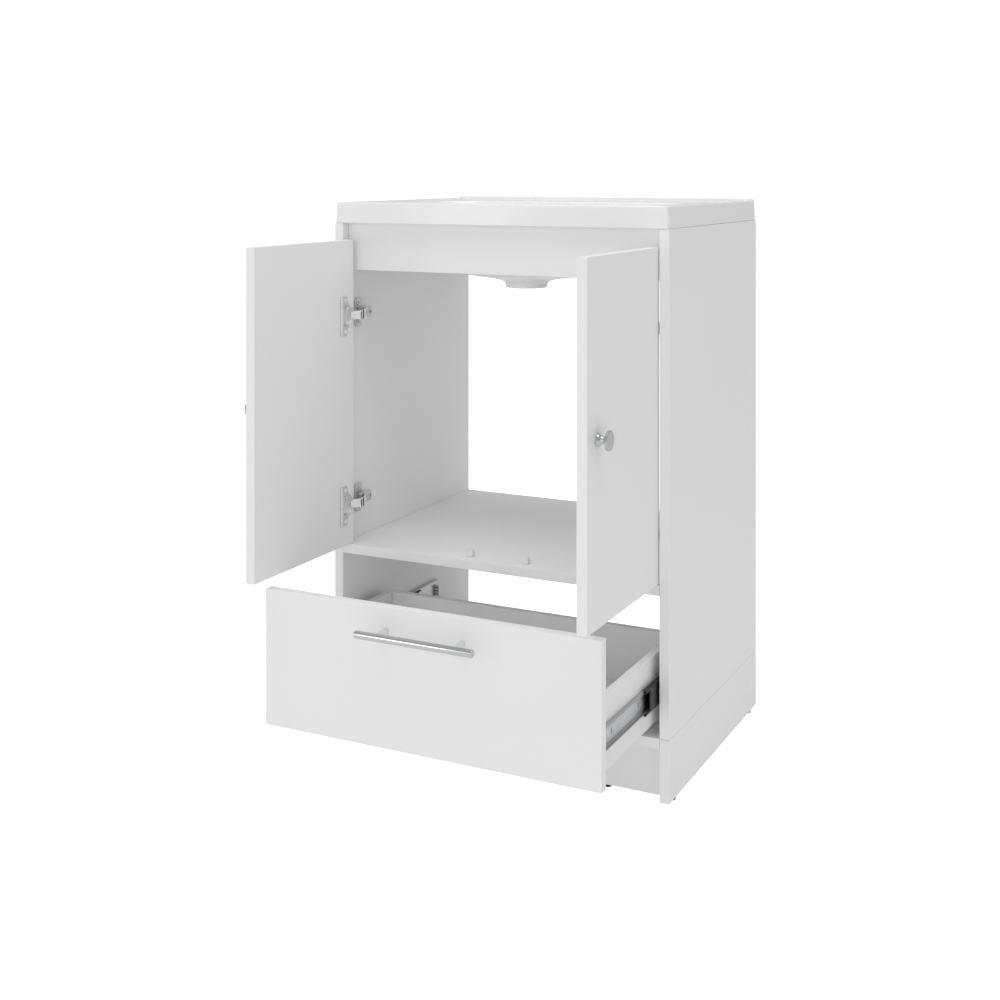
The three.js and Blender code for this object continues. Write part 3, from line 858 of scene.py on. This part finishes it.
def handle():
    """A round bar on two posts that fit round it."""
    lo, hi = box_mm("handle_bar")
    r, y, z = (hi.z - lo.z) / 2, (lo.y + hi.y) / 2, (lo.z + hi.z) / 2
    profile = fillet([(0, lo.x), (r, lo.x), (r, hi.x), (0, hi.x)], [0, 0.8, 0.8, 0], 4, closed=False)
    bar = lathe(profile, 64, "X", at=(0, y, z))
    piece("bar", bar, [BRUSHED], "drawer", ["handle_bar"])
    for tag in ("left", "right"):
        lo, hi = box_mm(f"handle_post_{tag}")
        x, rr, front = (lo.x + hi.x) / 2, (hi.x - lo.x) / 2, hi.y
        post = fillet(
            [(0, 0), (rr, 0), (rr, hi.y - y), (0, hi.y - y)], [0, 0.5, 0, 0], 3, closed=False
        )
        stem = lathe([(a, front - b) for a, b in post], 48, "Y", at=(x, 0, z))
        seat = rod(r + 0.05, x - 20, x + 20, "X", at=(0, y, z), edge=0, segments=64)
        stem = combine(stem, seat)
        # the posts take a brighter steel than the bar: painted light
        piece(f"post_{tag}", stem, [LIT_POST_STEEL], "drawer", [f"handle_post_{tag}"])


handle()


# ---------------------------------------------------------------- telescopic slides
def rolled(node, lip_turn, t=1.2):
    """Outline of a rolled channel in X and Z, drawn for the left side from the CAD node's box."""
    lo, hi = box_mm(node)
    web, lip = (hi.x, lo.x) if "drawer" in node else (lo.x, hi.x)
    s = 1 if lip > web else -1
    mid, half = (lo.z + hi.z) / 2, (hi.z - lo.z) / 2
    inset = t / 2
    path = [
        (lip - s * inset, mid - half + inset + lip_turn), (lip - s * 1.6, mid - half + inset),
        (web + s * inset, mid - half + inset), (web + s * inset, mid + half - inset),
        (lip - s * 1.6, mid + half - inset), (lip - s * inset, mid + half - inset - lip_turn),
    ]
    outline = ribbon(path, t, [0, 1.0, 1.9, 1.9, 1.0, 0], 5)
    turn = Matrix(((1, 0, 0, 0), (0, 0, 1, 0), (0, 1, 0, 0), (0, 0, 0, 1)))
    return prism(outline, lo.y, hi.y, 0.22, 2, turn), lo, hi, mid


def slides(side, tag):
    """The cabinet, middle and drawer members of one slide, drawn on the left."""
    bm, lo, hi, mid = rolled("slide_cabinet_left", 0.7)
    # slotted end plate behind the rear end, in the lighter nickel as painted light, with near-black
    # strips as painted shade in its slots; then holes and screws along the web
    join(bm, block((lo.x + 0.1, hi.y - 3, mid - 11.3), (lo.x + 1.1, hi.y + 1, mid + 11.3), 0.2))
    plate = block((lo.x + 0.2, hi.y + 0.1, mid - 11.5), (lo.x + 8.6, hi.y + 1.3, mid + 11.5), 0.3)
    join(bm, plate, slot=3)
    for dz in (-6, 0, 6):
        slot = block((lo.x + 0.9, hi.y + 0.07, mid + dz - 0.7), (lo.x + 8, hi.y + 0.4, mid + dz + 0.7))
        join(bm, slot, slot=2)
    for y in (lo.y + 90, lo.y + 186):
        hole = rod(2.3, -3, 3, "X", at=(lo.x, y, mid), edge=0, segments=24)
        bm = combine(bm, hole)
    add_screws(bm, [(lo.y + 37, mid), (lo.y + 261, mid)], 3.6, 1.4, lo.x + 1.2, 1)
    mats = [ZINC, SCREW, SHADE_STEEL, LIT_NICKEL]
    piece(f"runner_cabinet_{tag}", bm, mats, "carcass", [f"slide_cabinet_{tag}"], side)

    bm, lo, hi, mid = rolled("slide_middle_left", 0.6)
    bm = combine(bm, block((lo.x - 3, lo.y - 5, mid - 15), (lo.x + 3, lo.y + 17, mid + 15), 2.5))
    for y in (lo.y + 60, lo.y + 150, lo.y + 240):
        hole = block((lo.x - 3, y - 7, mid - 3.2), (lo.x + 3, y + 7, mid + 3.2), 1.4)
        bm = combine(bm, hole)
    # the middle member is near-black: painted shade for the gap between the members
    mats = [SHADE_STEEL]
    piece(f"runner_middle_{tag}", bm, mats, "slide_middles", [f"slide_middle_{tag}"], side)

    bm, lo, hi, mid = rolled("slide_drawer_left", 0.6)
    outer = hi.x - 1.2
    for y in (lo.y + 29.5, lo.y + 135.5, lo.y + 262):
        slot = rod(1.5, -4, 4, "X", at=(hi.x, y + 9, mid + 1.5), edge=0, segments=20)
        bm = combine(bm, slot)
        slot = block((hi.x - 4, y + 7.5, mid - 4), (hi.x + 4, y + 10.5, mid + 5), 1.0)
        bm = combine(bm, slot)
        head = screw_head(3.4, 1.2)
        place = Matrix.Translation((outer, y, mid)) @ Matrix.Rotation(math.pi, 4, "Z") @ ON_X
        join(bm, head, place, 1)
    mats = [ZINC, SCREW]
    piece(f"runner_drawer_{tag}", bm, mats, "drawer", [f"slide_drawer_{tag}"], side)


for side, tag in ((-1, "left"), (1, "right")):
    slides(side, tag)


# ---------------------------------------------------------------- stage and light
def seen_white(tree, output, plain, white_strength):
    """Mixes a plain shader with extra white that only the camera sees."""
    path = tree.nodes.new("ShaderNodeLightPath")
    white = tree.nodes.new("ShaderNodeEmission" if output == "Surface" else "ShaderNodeBackground")
    white.inputs["Color"].default_value = (1, 1, 1, 1)
    white.inputs["Strength"].default_value = white_strength
    mix = tree.nodes.new("ShaderNodeMixShader")
    tree.links.new(path.outputs["Is Camera Ray"], mix.inputs["Fac"])
    tree.links.new(plain, mix.inputs[1])
    return white, mix


def make_floor():
    bm = bmesh.new()
    bmesh.ops.create_grid(bm, x_segments=1, y_segments=1, size=30)
    mesh = bpy.data.meshes.new("floor")
    bm.to_mesh(mesh)
    bm.free()
    floor = bpy.data.objects.new("floor", mesh)
    floor.location.z = -0.0005
    bpy.context.scene.collection.objects.link(floor)
    mat = bpy.data.materials.new("floor")
    mat.use_nodes = True
    tree = mat.node_tree
    shader = tree.nodes["Principled BSDF"]
    shader.inputs["Base Color"].default_value = (0.78, 0.78, 0.78, 1)
    shader.inputs["Roughness"].default_value = 0.9
    shader.inputs["Emission Color"].default_value = (1, 1, 1, 1)
    shader.inputs["Emission Strength"].default_value = 0.20
    white, mix = seen_white(tree, "Surface", shader.outputs[0], 0.8)
    both = tree.nodes.new("ShaderNodeAddShader")
    tree.links.new(shader.outputs[0], both.inputs[0])
    tree.links.new(white.outputs[0], both.inputs[1])
    tree.links.new(both.outputs[0], mix.inputs[2])
    tree.links.new(mix.outputs[0], tree.nodes["Material Output"].inputs["Surface"])
    mesh.materials.append(mat)


def make_world(ambient):
    world = bpy.data.worlds.new("studio")
    bpy.context.scene.world = world
    world.use_nodes = True
    tree = world.node_tree
    plain = tree.nodes["Background"]
    plain.inputs["Color"].default_value = (1, 1, 1, 1)
    plain.inputs["Strength"].default_value = ambient
    white, mix = seen_white(tree, "World", plain.outputs[0], 1.05)
    tree.links.new(white.outputs[0], mix.inputs[2])
    tree.links.new(mix.outputs[0], tree.nodes["World Output"].inputs["Surface"])


def softbox(name, location, target, size, radiance):
    """A soft light panel; its power follows from the radiance of its face."""
    data = bpy.data.lights.new(name, "AREA")
    data.shape = "RECTANGLE"
    data.size, data.size_y = size
    data.energy = radiance * math.pi * size[0] * size[1]
    light = bpy.data.objects.new(name, data)
    light.location = location
    direction = Vector(target) - Vector(location)
    light.rotation_euler = direction.to_track_quat("-Z", "Y").to_euler()
    light.visible_camera = False
    bpy.context.scene.collection.objects.link(light)


make_floor()
make_world(0.525)
softbox("key_left", (-1.8, -3.4, 1.15), (0, -0.3, 0.6), (0.5, 1.6), 2.1)
softbox("front", (0.7, -4.5, 1.3), (0, 0, 0.5), (3.2, 2.4), 0.80)
softbox("top", (0.2, -0.4, 3.4), (0, 0, 0.6), (2.6, 2.6), 1.85)
